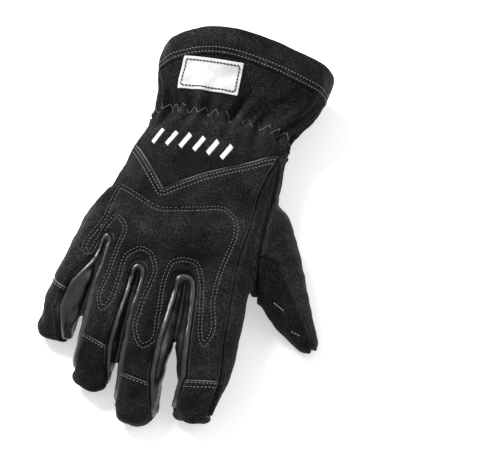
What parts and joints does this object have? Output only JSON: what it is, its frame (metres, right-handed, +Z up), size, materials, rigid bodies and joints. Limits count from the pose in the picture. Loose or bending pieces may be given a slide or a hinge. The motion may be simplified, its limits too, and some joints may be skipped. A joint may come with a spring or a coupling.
{
  "type": "firefighter glove",
  "caption": "Right-hand leather work glove for firefighting, lying palm down with lightly curled fingers and an open cuff.",
  "frame": {"origin": "on the resting surface, under the middle of the glove's box", "axes": "+Z up out of the back of the hand, +Y from the fingertips towards the cuff's opening, +X towards the thumb"},
  "size_m": [0.1866, 0.2782, 0.062],
  "materials": {
    "suede": "matt black split suede with a short nap",
    "grain": "smooth black leather with a soft shine",
    "label": "woven white label with a black stitched border",
    "thread": "light grey sewing thread"
  },
  "bodies": {
    "root": {"cuff_band": "suede", "wrist_back": "suede", "wrist_palm": "suede", "hand_back": "suede", "hand_palm": "suede", "palm_patch": "suede", "heel_patch": "suede", "index_side_strip": "suede", "thumb_outer": "suede", "thumb_inner": "suede", "fingertip_cap_little": "suede", "finger_pad_little": "suede", "fingertip_cap_ring": "suede", "finger_pad_ring": "suede", "fingertip_cap_middle": "suede", "finger_pad_middle": "suede", "fingertip_cap_index": "suede", "finger_pad_index": "suede", "fourchette_little_ring": "grain", "fourchette_ring_middle": "grain", "fourchette_middle_index": "grain", "label": "label"}
  },
  "joints": []
}
